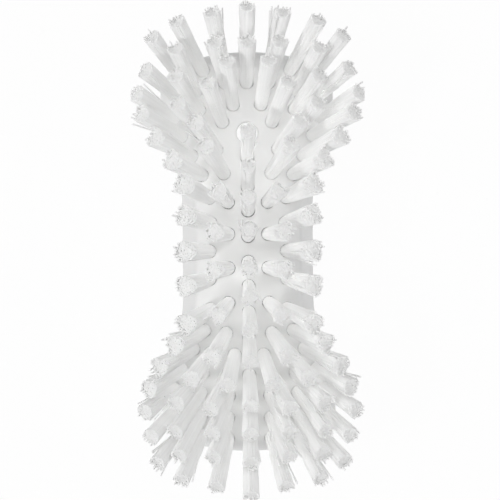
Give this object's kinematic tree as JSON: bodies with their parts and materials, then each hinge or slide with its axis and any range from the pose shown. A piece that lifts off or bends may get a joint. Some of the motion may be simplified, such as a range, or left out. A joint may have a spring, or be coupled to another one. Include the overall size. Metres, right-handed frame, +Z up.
{
  "type": "hand scrubbing brush",
  "caption": "Waisted hand scrubbing brush: a moulded plastic block with splayed round tufts of stiff bristle and a hanging hole near one end.",
  "frame": {"origin": "on the flat of the back, under the middle of the brush, which is the middle of the base of its bounding box", "axes": "+Z is up from the back to the bristle tips, +Y runs along the brush towards the end with the hanging hole, and +X runs across it"},
  "size_m": [0.0923, 0.198, 0.0681],
  "materials": {
    "block_plastic": "white moulded plastic, satin",
    "bristle_filament": "stiff white monofilament, slightly translucent"
  },
  "bodies": {
    "root": {"brush_block": "block_plastic", "row_01_left": "bristle_filament", "row_01_middle": "bristle_filament", "row_01_right": "bristle_filament", "row_02_left": "bristle_filament", "row_02_middle": "bristle_filament", "row_02_right": "bristle_filament", "row_03_left": "bristle_filament", "row_03_right": "bristle_filament", "row_04_left": "bristle_filament", "row_04_right": "bristle_filament", "row_05_left": "bristle_filament", "row_05_middle": "bristle_filament", "row_05_right": "bristle_filament", "row_06_left": "bristle_filament", "row_06_middle": "bristle_filament", "row_06_right": "bristle_filament", "row_07_left": "bristle_filament", "row_07_middle": "bristle_filament", "row_07_right": "bristle_filament", "row_08_left": "bristle_filament", "row_08_middle": "bristle_filament", "row_08_right": "bristle_filament", "row_09_left": "bristle_filament", "row_09_middle": "bristle_filament", "row_09_right": "bristle_filament", "row_10_left": "bristle_filament", "row_10_middle": "bristle_filament", "row_10_right": "bristle_filament", "row_11_left": "bristle_filament", "row_11_middle": "bristle_filament", "row_11_right": "bristle_filament", "row_12_left": "bristle_filament", "row_12_middle": "bristle_filament", "row_12_right": "bristle_filament", "row_13_left": "bristle_filament", "row_13_right": "bristle_filament", "row_14_left": "bristle_filament", "row_14_middle": "bristle_filament", "row_14_right": "bristle_filament", "row_15_left": "bristle_filament", "row_15_middle": "bristle_filament", "row_15_right": "bristle_filament", "row_16_left": "bristle_filament", "row_16_middle": "bristle_filament", "row_16_right": "bristle_filament", "row_17_left": "bristle_filament", "row_17_middle": "bristle_filament", "row_17_right": "bristle_filament"}
  },
  "joints": []
}
